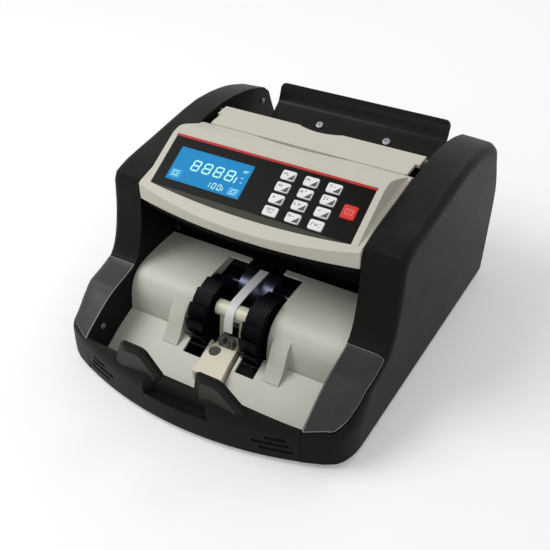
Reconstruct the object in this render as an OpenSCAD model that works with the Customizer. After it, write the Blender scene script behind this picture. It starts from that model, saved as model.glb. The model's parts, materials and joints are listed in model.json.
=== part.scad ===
// Banknote counting machine. Notes go in at the back and are stacked at the front.
// X is across, the front faces -Y, Z is up, and the feet stand on z = 0. Sizes in mm.

/* [Housing] */
// Half the clear width between the side covers
bay_half = 98; // [96:0.5:100]
// Width of one side cover
cover_w = 31.5; // [29:0.5:34]
// Wall of the moulded covers
wall = 2.5; // [2:0.1:3]
// Radius of the rounded outer edge of a side cover
edge_r = 8; // [6:0.5:8]
// Fall of a side cover's top from its inner to its outer edge
cover_fall = 1.5; // [0:0.1:1.5]

/* [Control panel] */
// Width of a white key
key_w = 11.7; // [10:0.1:12.5]
// Height of a white key down the panel
key_h = 8; // [7:0.1:8.6]
// Side of the square start key
start_w = 11.3; // [10:0.1:12]
// Height of a key above the overlay
key_proud = 1; // [0.6:0.1:1.4]

/* [Transport] */
// Blades on each stacker wheel
blade_n = 14; // [10:1:14]
// Outer radius of a stacker wheel
wheel_r = 31; // [28:0.5:31]
// Radius of the feed tyres
feed_r = 20; // [19:0.5:20]
// Radius of the pick-up tyres in the hopper
kicker_r = 15; // [14:0.5:15]
// Radius of the steel count roller
count_r = 15; // [14:0.5:15]

/* [Hidden] */
$fn = 48;

gap = 0.2;
floor_z = 4.5;
cover_x = bay_half + cover_w;

// Shaft centres as [y, z]
feed_at = [40, 54];
kicker_at = [88, 74];
count_at = [-31, 46];
wheel_at = [-65.5, 38];
motor_at = [70, 35];
bar_at = [-72, 53];
// Height adjuster of the separator and the posts that guide it
adjust_y = 50;
post_x = 20;
post_r = 2.5;
// Half length of its friction pads and their height over the feed tyres
pad_half = 5.8;
note_gap = 1;

// Shafts and their bearings
shaft_r = 4;
count_shaft_r = 3.5;
bearing_r = 8;
running = 0.04;

// Belt pulleys
motor_pr = 10;
feed_pr = 14;
kicker_pr = 12;
count_pr = 10;
wheel_pr = 16;
belt_w = 4;
belt_t = 1.6;
belt_gap = 0.3;
belt_a = 103;
belt_b = 110;
belt_c = 117;

// Control panel: its top edge, its slope, and depths square to its face
panel_top = [-10.9, 157.1];
panel_tilt = 29.5;
panel_h = 45.4;
panel_bow = 5.8;
panel_half = 88;
overlay_t = 0.8;
key_cols = [19.5, 38.7, 57.7];
key_rows = [8, 18.5, 29, 39.7];
start_at = [76.4, 22.7];
lcd_x = [-78, -10];
lcd_v = [8, 38.4];

// Front bow, as a circle seen from above
bow_r = 300;
bow_y = bow_r - 158;
head_bow_r = 428;
head_front = -65.3;

// ---------------------------------------------------------------- shared forms
function unit(v) = v / norm(v);
function spline(a, b, c, d, t) = 0.5 * (2 * b + (c - a) * t
    + (2 * a - 5 * b + 4 * c - d) * t * t + (3 * b - a - 3 * c + d) * t * t * t);
function smooth(p, n) = let (m = len(p) - 1) concat(
    [for (i = [0 : m - 1]) for (k = [0 : n - 1])
        spline(p[max(i - 1, 0)], p[i], p[i + 1], p[min(i + 2, m)], k / n)], [p[m]]);
function along(p, i) = unit(p[min(i + 1, len(p) - 1)] - p[max(i - 1, 0)]);
// A sheet of thickness t to the left of the path p
function sheet(p, t) = concat(p, [for (i = [len(p) - 1 : -1 : 0])
    p[i] + t * [-along(p, i)[1], along(p, i)[0]]]);
function arc(c, r, a0, a1, n) = [for (k = [0 : n]) let (a = a0 + (a1 - a0) * k / n)
    c + r * [cos(a), sin(a)]];

// Extrudes a [y, z] outline from x0 to x1
module across(x0, x1) {
    translate([x0, 0, 0]) rotate([90, 0, 90]) linear_extrude(x1 - x0) children();
}
module both_sides() {
    children();
    mirror([1, 0, 0]) children();
}
// A round bar along X
module rod(at, r, x0, x1) {
    translate([x0, at[0], at[1]]) rotate([0, 90, 0]) cylinder(r = r, h = x1 - x0);
}
// Moves into the panel's own axes: X across, Y down the slope, Z out of the face
module on_panel() {
    translate([0, panel_top[0], panel_top[1]]) rotate([180 + panel_tilt, 0, 0])
        mirror([0, 0, 1]) children();
}
module panel_block(x, v, w) {
    translate([x[0], v[0], w[0]]) cube([x[1] - x[0], v[1] - v[0], w[1] - w[0]]);
}

// ---------------------------------------------------------------- side covers
function cover_sketch(front, toe, top, rear) = concat(front, smooth(toe, 3), smooth(top, 2),
    smooth(rear, 2));
cover_outline = cover_sketch([[-142, 4.5], [-141.6, 18]],
    [[-140.6, 30], [-136, 36.5], [-106, 53.4], [-84, 59.5], [-71, 64.5], [-62.6, 77],
        [-56, 101], [-52.6, 128]],
    [[-49.5, 134.2], [-31, 139], [0, 142.4], [31, 146.2], [68, 149.4], [100, 146],
        [120, 141.2], [137, 135.2]],
    [[144.5, 128.5], [150, 112], [155.2, 98], [157.8, 84], [157.2, 67], [154.2, 46],
        [150.5, 24], [146.5, 4.5]]);
// The same outline where the rounded edge has come in by cap_in, with its corners kept open
cap_in = 9.5;
cap_outline = cover_sketch([[-132.5, 4.5], [-132.3, 16]],
    [[-131.8, 23.6], [-128.4, 29], [-102, 44.6], [-81, 50.4], [-64.5, 57.6], [-54.2, 73.2],
        [-46.8, 99], [-43.1, 121.6]],
    [[-39.6, 126], [-29, 129.6], [1, 132.9], [32, 136.7], [67.6, 139.8], [98, 136.6],
        [117, 132], [130.6, 126.9]],
    [[135.9, 123.2], [140.6, 109.3], [145.6, 95], [148.3, 82.8], [147.7, 67.6], [144.7, 47.4],
        [141.1, 25.4], [137, 4.5]]);
// How far the edge has come in at x, and how far the rounded front corner has
function edge_in(x) = cover_fall * (x - bay_half) / cover_w
    + (x > cover_x - edge_r ? edge_r - sqrt(max(0, edge_r * edge_r - pow(x - cover_x + edge_r, 2))) : 0);
corner_r = 14;
function corner_in(x) = (x * x - bay_half * bay_half) / (2 * bow_r)
    + (x > cover_x - corner_r
        ? corner_r - sqrt(max(0, corner_r * corner_r - pow(x - cover_x + corner_r, 2))) : 0);
function front_share(y) = min(1, max(0, (-96 - y) / 36));
// One section of the cover at x, shaped as at at_x and t inside the outer skin
function cover_ring(x, at_x, t) = let (s = (edge_in(at_x) + t) / cap_in)
    [for (i = [0 : len(cover_outline) - 1])
        let (p = cover_outline[i], q = p + s * (cap_outline[i] - p))
            [x, q[0] + front_share(p[0]) * corner_in(at_x), max(q[1], floor_z + t)]];
// Rings are joined by triangles, and both ends are fans from the last point
module loft(rings) {
    n = len(rings[0]);
    m = len(rings);
    last = (m - 1) * n;
    polyhedron(points = [for (r = rings) for (p = r) p],
        faces = concat([for (i = [0 : n - 3]) [n - 1, i + 1, i]],
            [for (i = [0 : n - 3]) [last + n - 1, last + i, last + i + 1]],
            [for (j = [0 : m - 2]) for (i = [0 : n - 1]) let (k = (i + 1) % n)
                [j * n + i, j * n + k, (j + 1) * n + i]],
            [for (j = [0 : m - 2]) for (i = [0 : n - 1]) let (k = (i + 1) % n)
                [(j + 1) * n + i, j * n + k, (j + 1) * n + k]]));
}
// The steel side frame's outline; the cover is open to the inside over most of it
frame_outline = [[-76.5, 6.6], [-76.5, 42], [-66, 53], [-20, 57.5], [-13.6, 62], [-13.6, 108],
    [60, 108], [74, 97], [99, 89.4], [136, 88], [143, 60], [141.5, 16], [136.5, 6.6]];
window_outline = [[-74, 12], [-74, 41], [-64, 50.5], [-16, 52.5], [-8, 60], [-8, 103],
    [57, 103], [71, 95], [97.6, 87.4], [134, 86], [138, 60], [136, 12]];
module side_cover_half() {
    cut_x = cover_x - edge_r;
    difference() {
        loft([for (x = concat([bay_half, bay_half + cover_w / 2, cut_x],
            [for (a = [24 : 16.5 : 90]) cut_x + edge_r * sin(a)])) cover_ring(x, x, 0)]);
        loft([cover_ring(bay_half + wall, bay_half + wall, wall),
            cover_ring(cut_x - wall, cut_x, wall),
            cover_ring(cover_x - wall - 3, cover_x - 3, wall),
            cover_ring(cover_x - wall, cover_x - 1, wall)]);
        across(bay_half - 1, bay_half + wall + 1) polygon(window_outline);
        rod([66, 142.5], 2.08, bay_half - 1, bay_half + wall + 1);
    }
}
module side_cover_left() {
    color("#1a1a1c") mirror([1, 0, 0]) side_cover_half();
}
module side_cover_right() {
    color("#1a1a1c") side_cover_half();
}

// ---------------------------------------------------------------- base and frames
module base_plate() {
    color("#8d9194") difference() {
        union() {
            translate([-bay_half + 0.5, -112, floor_z]) cube([2 * bay_half - 1, 250, 2]);
            for (x = [-82, 82]) for (y = [-88, 122])
                translate([x, y, 6]) cylinder(r = 6, h = 3);
        }
        for (y = [30 : 12 : 90]) translate([-60, y, 4]) cube([36, 4, 3]);
    }
}
foot_xy = [[-82, -88], [82, -88], [-82, 122], [82, 122]];
module rubber_feet() {
    color("#202020") for (p = foot_xy) translate([p[0], p[1], 0]) difference() {
        union() {
            cylinder(r1 = 8, r2 = 9, h = 1);
            translate([0, 0, 1]) cylinder(r = 9, h = floor_z - 1);
        }
        translate([0, 0, -1]) cylinder(r = 3.5, h = 3);
    }
}
shafts = [feed_at, kicker_at, count_at, wheel_at];
module side_frames() {
    color("#9a9da0") both_sides() difference() {
        union() {
            across(bay_half - 2.5, bay_half - 0.5) polygon(frame_outline);
            translate([bay_half - 14, 0, 6.6]) cube([12, 110, 1.6]);
        }
        for (s = shafts) rod(s, bearing_r, bay_half - 4, bay_half);
        rod(motor_at, 6, bay_half - 4, bay_half);
        rod([8, 84], 9, bay_half - 4, bay_half);
        rod([118, 40], 12, bay_half - 4, bay_half);
    }
}
module bearings() {
    color("#c9ccd0") both_sides() for (s = shafts) difference() {
        union() {
            rod(s, bearing_r - 0.02, bay_half - 5.5, bay_half - 0.5);
            rod(s, bearing_r + 1.5, bay_half - 4, bay_half - 2.52);
        }
        rod(s, (s == count_at ? count_shaft_r : shaft_r) + running, bay_half - 6, bay_half);
    }
}
rods_at = [[4, 94], [112, 74], [126, 16], [2, 22]];
module tie_rods() {
    color("#b4b7ba") for (s = rods_at) {
        rod(s, 3, -bay_half + 2.52, bay_half - 2.52);
        for (x = [-1, 1]) rod(s, 5, x * (bay_half - 6) - 3, x * (bay_half - 6) + 3);
    }
}

// ---------------------------------------------------------------- front and stacker
module bow(r) {
    translate([0, bow_y, -20]) cylinder(r = r, h = 120, $fn = 120);
}
// A flared notch for the fingers, open at the top
notch_z = 23.5;
notch_back = -149.6;
module finger_notch() {
    translate([0, 0, notch_z]) linear_extrude(40)
        polygon([[-33, -160], [33, -160], [22.5, notch_back], [-22.5, notch_back]]);
}
// Each vent as its inner end, its length and its height above the desk
vents = [[69, 24, 12.6], [63.5, 27, 18.4], [73, 15, 23.6]];
module front_cover() {
    color("#1f1f1d") difference() {
        intersection() {
            translate([-bay_half + gap, -170, floor_z])
                cube([2 * (bay_half - gap), 80, 30 - floor_z]);
            difference() {
                bow(bow_r);
                bow(bow_r - wall);
            }
        }
        finger_notch();
        both_sides() for (s = vents) translate([s[0], -170, s[2] - 1.4]) cube([s[1], 60, 2.8]);
    }
}
// The lip leans back; its top edge falls towards both sides
lip_profile = sheet(smooth([[bow_r, 29.2], [bow_r - 0.7, 34], [bow_r - 2.9, 38.5],
    [bow_r - 5.6, 42], [bow_r - 8.4, 44.8]], 3), 2.6);
lip_crown_r = 467;
// The tabs are thick paddles that lean forward, with a flat face inside a broad rounded edge
tab_lean = 12.7;
tab_top = 28.8;
tab_layers = [[1.5, 0], [3.2, 1.2], [5, 6]];
// Edges nearest and furthest from the middle at height v, brought in by i
function tab_inner(v, i) = 14.4 + i + 0.31 * (v - 2);
function tab_outer(v, i) = 58.7 - 1.12 * i - 0.54 * (v - 1);
module tab_outline(i) {
    v = tab_top - 2.8 - i;
    polygon([[18.6 + i, -10], [14.4 + i, -2], [14.4 + i, 2], [tab_inner(v, i), v],
        [tab_inner(v, i) + 3.6, v + 2.8], [tab_outer(v, i) - 3.8, v + 2.8], [tab_outer(v, i), v],
        [58.7 - 1.12 * i, 1], [58.7 - 1.12 * i, -10]]);
}
module stacker_lip() {
    color("#2a2b26") union() {
        intersection() {
            difference() {
                translate([0, bow_y, 0]) rotate_extrude($fn = 120) polygon(lip_profile);
                finger_notch();
                translate([-15, -160, 42]) cube([30, 20, 10]);
            }
            translate([-bay_half + gap, -170, 30.2]) cube([2 * (bay_half - gap), 90, 30]);
            translate([0, -100, 44.8 - lip_crown_r]) rotate([90, 0, 0])
                cylinder(r = lip_crown_r, h = 80, $fn = 120);
        }
        // The notch's back, cheeks and floor, behind the front cover and the lip
        difference() {
            intersection() {
                translate([-32, -160, notch_z - 2]) cube([64, 160 + notch_back + 2.2, 44 - notch_z]);
                translate([0, bow_y, 0]) rotate_extrude($fn = 120) polygon([[200, 10],
                    [bow_r - 2.8, 10], [bow_r - 2.8, 36], [bow_r - 3.4, 38.5], [bow_r - 6, 42], [200, 42]]);
            }
            finger_notch();
        }
        both_sides() translate([0, -147, 41]) rotate([90 + tab_lean, 0, 0]) hull()
            for (s = tab_layers) linear_extrude(s[0]) tab_outline(s[1]);
    }
}
floor_top = smooth([[-84.4, 27], [-92, 23.8], [-100.5, 20.4], [-109, 16], [-116, 12],
    [-124, 8.9], [-134, 6.9], [-156, 6.6]], 2);
module stacker_floor() {
    color("#c6c6be") difference() {
        intersection() {
            across(-bay_half + 0.4, bay_half - 0.4) polygon(concat(floor_top,
                [[-156, 4.6], [-124, 4.6], [-112.4, 11.6], [-100, 18.2], [-84.4, 24.6]]));
            bow(bow_r - wall - 0.3);
        }
        both_sides() translate([16.2, -101, 0]) cube([17, 40, 60]);
        translate([-13.4, -116.2, 0]) cube([26.8, 60, 60]);
    }
}
guide_top = smooth([[-18.4, 64.6], [-38, 63.9], [-55, 62.4], [-66, 59.9], [-74, 55.2],
    [-79.4, 47], [-82.2, 37], [-83.9, 25]], 3);
module stacker_guides() {
    color("#c2c2bc") both_sides() {
        difference() {
            union() {
                across(35, bay_half - 0.4) polygon(sheet(guide_top, 2));
                across(35, 36.6)
                    polygon(concat(guide_top, [[-80, 25], [-72, 44], [-62, 53], [-18.4, 58]]));
                across(16.5, 36) polygon([[-18.4, 64.6], [-24, 64.5], [-24, 62.7], [-18.4, 62.8]]);
                across(40.3, 54.8) polygon([[-75.5, 52.4], [-84.2, 44], [-89.6, 34], [-95, 26],
                    [-99.6, 21.9], [-98.8, 21.5], [-92, 24.2], [-84.4, 27.7], [-80, 44]]);
            }
            rod(count_at, 9, 30, bay_half);
        }
    }
}
block_side = [[-72, 24.5], [-81, 24.5], [-81, 26.6], [-89, 26.6], [-100, 24.4], [-116, 20.6],
    [-116, 10.2], [-100, 14], [-72, 20]];
block_plan = [[-13.2, -116], [13.2, -116], [11, -102], [8.6, -81], [11, -81], [11, -72], [-11, -72],
    [-11, -81], [-13.2, -97]];
sensor_at = [-7, -93];
module centre_block() {
    color("#e0d6c4") difference() {
        union() {
            intersection() {
                across(-13.2, 13.2) polygon(block_side);
                linear_extrude(40) polygon(block_plan);
            }
            translate([-8, -106, 6.5]) cube([16, 12, 9]);
        }
        translate([sensor_at[0], sensor_at[1], 22]) cylinder(r = 5, h = 20);
    }
}
strap_path = smooth([[-26.6, 61.8], [-44, 61.6], [-60, 60.9], [-71, 59.6], [-77.4, 56.4],
    [-80.4, 49.5], [-82.6, 40]], 4);
module stacker_strap() {
    color("#eeeeea") difference() {
        across(-4, 4) polygon(sheet(strap_path, -1.2));
        rod(bar_at, 6.55, -10, 10);
    }
}
module strap_bar() {
    color("#e6e3cf") union() {
        difference() {
            rod(bar_at, 6.5, -14.7, 14.7);
            across(-14, 14) polygon([[-76, 46], [-68, 46], [-69, 52], [-74, 52]]);
        }
        for (x = [-11, 7]) across(x, x + 4)
            polygon([[-76.5, 50], [-71, 50], [-74, 27], [-80.5, 27]]);
        across(-11, 11) polygon([[-80.9, 27], [-73.6, 27], [-73.4, 24.5], [-81, 24.5]]);
    }
}
module stack_sensor() {
    color("#4a4a48") union() {
        translate([sensor_at[0], sensor_at[1], 22]) {
            cylinder(r = 4.4, h = 3.6);
            cylinder(r = 2.2, h = 4.3);
        }
        difference() {
            translate([-7, -87.4, 26.6]) cube([13, 6.2, 8]);
            translate([-2.6, -89.4, 30]) cube([4, 6, 5]);
            translate([3.6, -86.6, 20]) cylinder(r = 1.1, h = 20);
        }
    }
}

// ---------------------------------------------------------------- hopper and back
hopper_path = concat([[58.6, 66.4]], smooth([[66, 74.4], [72, 80.2], [90, 91.8], [112, 106.1],
    [132, 119], [138, 123.4], [141.4, 129.6], [145.9, 140]], 2));
module hopper_plate() {
    color("#2b2c28") difference() {
        across(-84, 84) polygon(sheet(hopper_path, -2.4));
        both_sides() {
            translate([18.6, 70, 60]) cube([17.8, 36, 60]);
            translate([10, 40, 60]) cube([28.6, 25.4, 14]);
        }
        for (x = [-33.4, 33.4]) translate([x, 127, 100]) cylinder(r = 2.2, h = 30);
    }
}
rear_path = smooth([[139.4, 6.8], [146, 12], [147.2, 30], [147.4, 56], [146, 80],
    [141, 90], [132, 92.8], [106, 93]], 2);
inlet_at = [56, 34];
switch_at = [14, 34];
module rear_cover() {
    color("#1b1b1a") difference() {
        union() {
            across(-bay_half + 0.4, bay_half - 0.4) polygon(sheet(rear_path, 2.2));
            for (x = [-33.4, 33.4]) difference() {
                translate([x, 127, 92]) cylinder(r = 5, h = 40);
                across(x - 6, x + 6) polygon([[100, 95.2], [150, 127.7], [150, 150], [100, 150]]);
                translate([x, 127, 80]) cylinder(r = 1.5, h = 60);
            }
            for (x = [-62, 62]) across(x - 5, x + 5)
                polygon([[146, 66], [152, 68], [154.6, 72], [154.6, 78], [152, 82], [145.6, 82]]);
        }
        translate([inlet_at[0] - 13.6, 138, inlet_at[1] - 10]) cube([27.2, 16, 20]);
        translate([switch_at[0] - 9.6, 138, switch_at[1] - 6.6]) cube([19.2, 16, 13.2]);
        for (x = [-84 : 7 : -42]) translate([x, 138, 20]) cube([3, 16, 30]);
        rod([150.6, 75], 2.06, -60, -40);
        rod([150.6, 75], 2.06, 40, 60);
    }
}
module carry_handle() {
    color("#1e1e1d") union() {
        rod([150.6, 75], 2, -59.6, -50);
        rod([150.6, 75], 2, 50, 59.6);
        both_sides() difference() {
            across(48, 56.4) polygon([[148.6, 78], [152.6, 78], [153.8, 52], [148.2, 52]]);
            translate([40, 140, 54]) cube([8.6, 20, 30]);
        }
        across(-56.4, 56.4) polygon(arc([151, 51], 2.8, 0, 330, 11));
    }
}
module power_inlet() {
    color("#161616") translate([inlet_at[0], 0, inlet_at[1]]) difference() {
        union() {
            translate([-13.4, 130, -9.8]) cube([26.8, 17.6, 19.6]);
            translate([-16, 147.6, -12]) cube([32, 1.8, 24]);
        }
        translate([-11.2, 133, -7.6]) cube([22.4, 20, 15.2]);
    }
    color("#c0b080") for (p = [[0, 3], [-7, -2], [7, -2]])
        translate([inlet_at[0] + p[0] - 1, 132, inlet_at[1] + p[1] - 2]) cube([2, 12, 4]);
}
module switch_body() {
    color("#141414") translate([switch_at[0], 0, switch_at[1]]) difference() {
        union() {
            translate([-9.4, 134, -6.4]) cube([18.8, 13.6, 12.8]);
            translate([-10.8, 147.6, -7.8]) cube([21.6, 1.6, 15.6]);
        }
        translate([-7.9, 139, -5.1]) cube([15.8, 14, 10.2]);
    }
}
module switch_rocker() {
    color("#a02020") translate([switch_at[0], 145.2, switch_at[1]]) rotate([0, 0, -8]) union() {
        translate([0, 0, -4.7]) linear_extrude(9.4)
            polygon([[-6.4, -2], [6.4, -2], [6.9, 3], [4, 3.4], [0, 3.9], [-4, 3.4], [-6.9, 3]]);
        translate([0, 0, -5]) cylinder(r = 1.2, h = 10);
    }
}

// ---------------------------------------------------------------- head
head_outer = concat([[-70, 118.8], [-70, 118.8 + 4]],
    [[-70, panel_top[1] - 59.1 * tan(panel_tilt)], panel_top],
    smooth([[-6.4, 158.6], [-2, 159.4], [2.6, 159], [8, 157.2]], 3),
    [[37.3, 144.7], [37.3, 118.8]]);
head_inner = [[-70, 110], [-70, panel_top[1] - 59.1 * tan(panel_tilt) - 3.45],
    [-11.4, 153.4], [-4, 156.2], [2.6, 156.3], [7.4, 154.7], [34.8, 142.8], [38, 142.8], [38, 110]];
module bow_head(t) {
    translate([0, head_front + head_bow_r, 90]) cylinder(r = head_bow_r - t, h = 90, $fn = 160);
}
// The overlay is straight at the top and bowed at the bottom
module overlay_outline(inset) {
    half = panel_half - inset;
    sag_r = (half * half + panel_bow * panel_bow) / (2 * panel_bow);
    end = asin(half / sag_r);
    polygon(concat([[-half, inset], [half, inset]], [for (k = [0 : 20])
        let (a = end * (1 - k / 10))
            [sag_r * sin(a), panel_h + panel_bow - inset - sag_r * (1 - cos(a))]]));
}
hood_end = 93.4;
hood_flange = [[-52, 134.3], [-49.5, 134.6], [-31, 139.4], [0, 142.8], [31, 146.6], [38, 147.4],
    [38, 170], [-52, 170]];
module head_cover() {
    color("#cbc7bb") difference() {
        intersection() {
            across(-bay_half + 0.8, bay_half - 0.8) polygon(head_outer);
            bow_head(0);
            translate([0, 60, 0]) rotate([90, 0, 0]) linear_extrude(140) polygon([
                [-bay_half + 0.8, 110], [bay_half - 0.8, 110], [bay_half - 0.8, 136],
                [bay_half - 2.2, 160], [-bay_half + 2.2, 160], [-bay_half + 0.8, 136]]);
        }
        difference() {
            intersection() {
                across(-hood_end + 2.4, hood_end - 2.4) polygon(head_inner);
                bow_head(2.5);
            }
            across(-47, 47) polygon([[25, 150], [25, 144], [28, 137.8], [40, 137.8], [40, 150]]);
        }
        // Recess for the overlay, the display opening and the key holes
        on_panel() {
            translate([0, 0, -overlay_t]) linear_extrude(6) overlay_outline(0);
            panel_block([lcd_x[0] + 1, lcd_x[1] - 1], [lcd_v[0] + 1, lcd_v[1] - 1], [-9, 1]);
            for (x = key_cols) for (v = key_rows) panel_block([x - key_w / 2 - 0.25, x + key_w / 2 + 0.25],
                [v - key_h / 2 - 0.25, v + key_h / 2 + 0.25], [-9, 1]);
            panel_block([start_at[0] - start_w / 2 - 0.25, start_at[0] + start_w / 2 + 0.25],
                [start_at[1] - start_w / 2 - 0.25, start_at[1] + start_w / 2 + 0.25], [-9, 1]);
        }
        // Finger scoop in the rear edge
        translate([0, 37.3 + 117, 140.2]) cylinder(r = 125, h = 30, $fn = 120);
        // Beyond its ends the hood is a flange, level with the side covers
        both_sides() across(hood_end, bay_half + 1) polygon(hood_flange);
    }
}
module panel_overlay() {
    color("#1a1b14") on_panel() difference() {
        translate([0, 0, -overlay_t + 0.02]) linear_extrude(overlay_t - 0.02) overlay_outline(0.15);
        panel_block([lcd_x[0], lcd_x[1]], [lcd_v[0], lcd_v[1]], [-3, 1]);
        for (x = key_cols) for (v = key_rows) panel_block([x - key_w / 2 - 0.25, x + key_w / 2 + 0.25],
            [v - key_h / 2 - 0.25, v + key_h / 2 + 0.25], [-3, 1]);
        panel_block([start_at[0] - start_w / 2 - 0.25, start_at[0] + start_w / 2 + 0.25],
            [start_at[1] - start_w / 2 - 0.25, start_at[1] + start_w / 2 + 0.25], [-3, 1]);
    }
}
module lcd_window() {
    color("#0a8edb") on_panel() panel_block([lcd_x[0] + 0.1, lcd_x[1] - 0.1],
        [lcd_v[0] + 0.1, lcd_v[1] - 0.1], [-overlay_t + 0.02, -0.05]);
}
module lcd_module() {
    color("#6f7a60") on_panel() union() {
        panel_block([lcd_x[0] + 1.4, lcd_x[1] - 1.4], [lcd_v[0] + 1.4, lcd_v[1] - 1.4],
            [-5.4, -overlay_t - 0.1]);
        panel_block([lcd_x[0] - 2, lcd_x[1] + 2], [4, 42.4], [-7, -5.4]);
        for (x = [-70, -18]) panel_block([x, x + 5], [36, 41], [-9, -7]);
    }
}
module key_board() {
    color("#2f6b3a") on_panel() union() {
        panel_block([10.5, 84.5], [2, 45], [-8, -6.4]);
        for (x = [16, 44, 70]) panel_block([x, x + 7], [13, 20], [-9.8, -8]);
    }
}
module key_body(x, v, w, h) {
    on_panel() union() {
        panel_block([x - w / 2, x + w / 2], [v - h / 2, v + h / 2], [-3.9, key_proud - 0.4]);
        panel_block([x - w / 2 + 0.4, x + w / 2 - 0.4], [v - h / 2 + 0.4, v + h / 2 - 0.4],
            [key_proud - 0.5, key_proud]);
        panel_block([x - w / 2 - 0.8, x + w / 2 + 0.8], [v - h / 2 - 0.8, v + h / 2 + 0.8], [-4.6, -3.1]);
        translate([x, v, -5.5]) cylinder(r = 2, h = 1);
    }
}
module white_key(i, j) {
    color("#f2f2f0") key_body(key_cols[j - 1], key_rows[i - 1], key_w, key_h);
}
module key_start() {
    color("#f03a32") key_body(start_at[0], start_at[1], start_w, start_w);
}
module head_tray() {
    color("#1d1d1c") difference() {
        union() {
            intersection() {
                translate([-bay_half + 4, -80, 112]) cube([2 * bay_half - 8, 144, 6.6]);
                bow_head(4);
            }
            translate([-bay_half + 4, 61.6, 88]) cube([2 * bay_half - 8, 2.4, 50]);
            for (x = [-60, 60]) across(x - 1, x + 1) polygon([[40, 118], [62, 118], [62, 134]]);
            translate([0, adjust_y, 112]) cylinder(r = 8, h = 14);
            for (x = [-post_x, post_x]) translate([x, feed_at[0], 88]) cylinder(r = post_r, h = 25);
        }
        intersection() {
            translate([-bay_half + 6, -80, 114]) cube([2 * bay_half - 12, 141.6, 12]);
            bow_head(6);
            difference() {
                translate([-200, -100, 100]) cube([400, 300, 40]);
                translate([0, adjust_y, 100]) cylinder(r = 8, h = 40);
            }
        }
        translate([0, adjust_y, 110]) cylinder(r = 4.06, h = 18);
        for (x = [-50 : 20 : 50]) translate([x - 6, -8, 110]) cube([12, 14, 6]);
    }
}
module throat_plate() {
    color("#121212") union() {
        across(-bay_half + 3, bay_half - 3)
            polygon([[-14.4, 111.8], [-16.4, 111.8], [-16.4, 74], [-14.6, 69], [-12.8, 69.6], [-14.4, 74.6]]);
        for (x = [-70, -35, 35, 70]) across(x - 1, x + 1)
            polygon([[-14.6, 111.8], [-4, 111.8], [-14.6, 96]]);
    }
}
// The bed that notes slide over between the feed tyres and the count roller
bed_path = smooth([[54, 69.2], [48, 70.6], [36, 71.2], [24, 70], [8, 67.4], [-8, 65], [-17.8, 64]], 2);
module note_bed() {
    color("#161616") difference() {
        across(-bay_half + 2.5, bay_half - 2.5) polygon(sheet(bed_path, 1.6));
        both_sides() translate([10.6, 25, 50]) cube([26.8, 35, 40]);
    }
}
flap_pin = [66, 142.5];
module top_flap() {
    color("#c6c2b6") union() {
        difference() {
            across(-93.9, 93.9) polygon([[37.6, 145.2], [40, 145.5], [67.4, 147], [68.2, 146.2],
                [68.2, 143.2], [66, 142.6], [64, 143.6], [37.9, 142.4]]);
            both_sides() {
                translate([90.4, 30, 130]) cube([10, 24.2, 30]);
                translate([88.6, 30, 130]) cube([10, 8.4, 30]);
            }
            translate([0, 68.2 + 46.5, 130]) cylinder(r = 51.5, h = 30, $fn = 96);
        }
        both_sides() {
            rod(flap_pin, 3.2, 86, 93.9);
            rod(flap_pin, 2, 90, bay_half + 2);
        }
    }
}
// Friction block over the feed tyres, on a guided slide, with two flat pads
module separator() {
    color("#3c3e40") union() {
        across(-30, 30) polygon(concat([[26, 86], [26, 82]], arc(feed_at, feed_r + 4, 112, 68, 6),
            [[54, 82], [54, 86]]));
        difference() {
            union() {
                across(-26, 26) polygon([[34, 85.8], [46, 85.8], [45, 96], [35, 96]]);
                translate([0, adjust_y, 84]) cylinder(r = 6.5, h = 22);
                translate([-3, 44, 85]) cube([6, 6, 14]);
            }
            for (x = [-post_x, post_x])
                translate([x, feed_at[0], 86.4]) cylinder(r = post_r + 0.06, h = 20);
            translate([0, adjust_y, 90]) cylinder(r = 4.3, h = 20);
        }
    }
    color("#b5651d") both_sides() across(13, 29)
        polygon(concat([for (y = [-pad_half, pad_half]) [feed_at[0] + y, feed_at[1] + feed_r + note_gap]],
            arc(feed_at, feed_r + 3.98, 74, 106, 8)));
}
module adjust_knob() {
    color("#3a6ea5") translate([0, adjust_y, 0]) union() {
        translate([0, 0, 94]) cylinder(r = 4, h = 34);
        difference() {
            translate([0, 0, 127.4]) cylinder(r = 9.5, h = 8);
            for (a = [0 : 30 : 330]) rotate([0, 0, a])
                translate([10, 0, 125]) cylinder(r = 1.4, h = 14);
        }
    }
}

// ---------------------------------------------------------------- transport
module pulley(at, r, x) {
    rod(at, r, x - belt_w / 2 - 0.4, x + belt_w / 2 + 0.4);
    for (s = [-1, 1]) let (flange_x = x + s * (belt_w / 2 + 0.9))
        rod(at, r + belt_t + 0.6, flange_x - 0.5, flange_x + 0.5);
}
module feed_shaft() {
    color("#b9bcc0") union() {
        rod(feed_at, shaft_r, -belt_a - 5, belt_b + 5);
        for (x = [-39, 39]) rod(feed_at, 7, x - 3, x + 3);
        pulley(feed_at, kicker_pr, -belt_a);
        pulley(feed_at, feed_pr, belt_a);
        pulley(feed_at, feed_pr, belt_b);
    }
}
module feed_tyres() {
    color("#2a2a2a") both_sides() difference() {
        rod(feed_at, feed_r, 12, 36);
        rod(feed_at, shaft_r, 10, 37);
        for (x = [16 : 4 : 32]) difference() {
            rod(feed_at, feed_r + 1, x - 0.5, x + 0.5);
            rod(feed_at, feed_r - 1, x - 1, x + 1);
        }
    }
}
module kicker_shaft() {
    color("#b9bcc0") union() {
        rod(kicker_at, shaft_r, -belt_a - 5, bay_half + 4);
        for (x = [-37, 37]) rod(kicker_at, 7, x - 2.6, x + 2.6);
        pulley(kicker_at, kicker_pr, -belt_a);
    }
}
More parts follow.
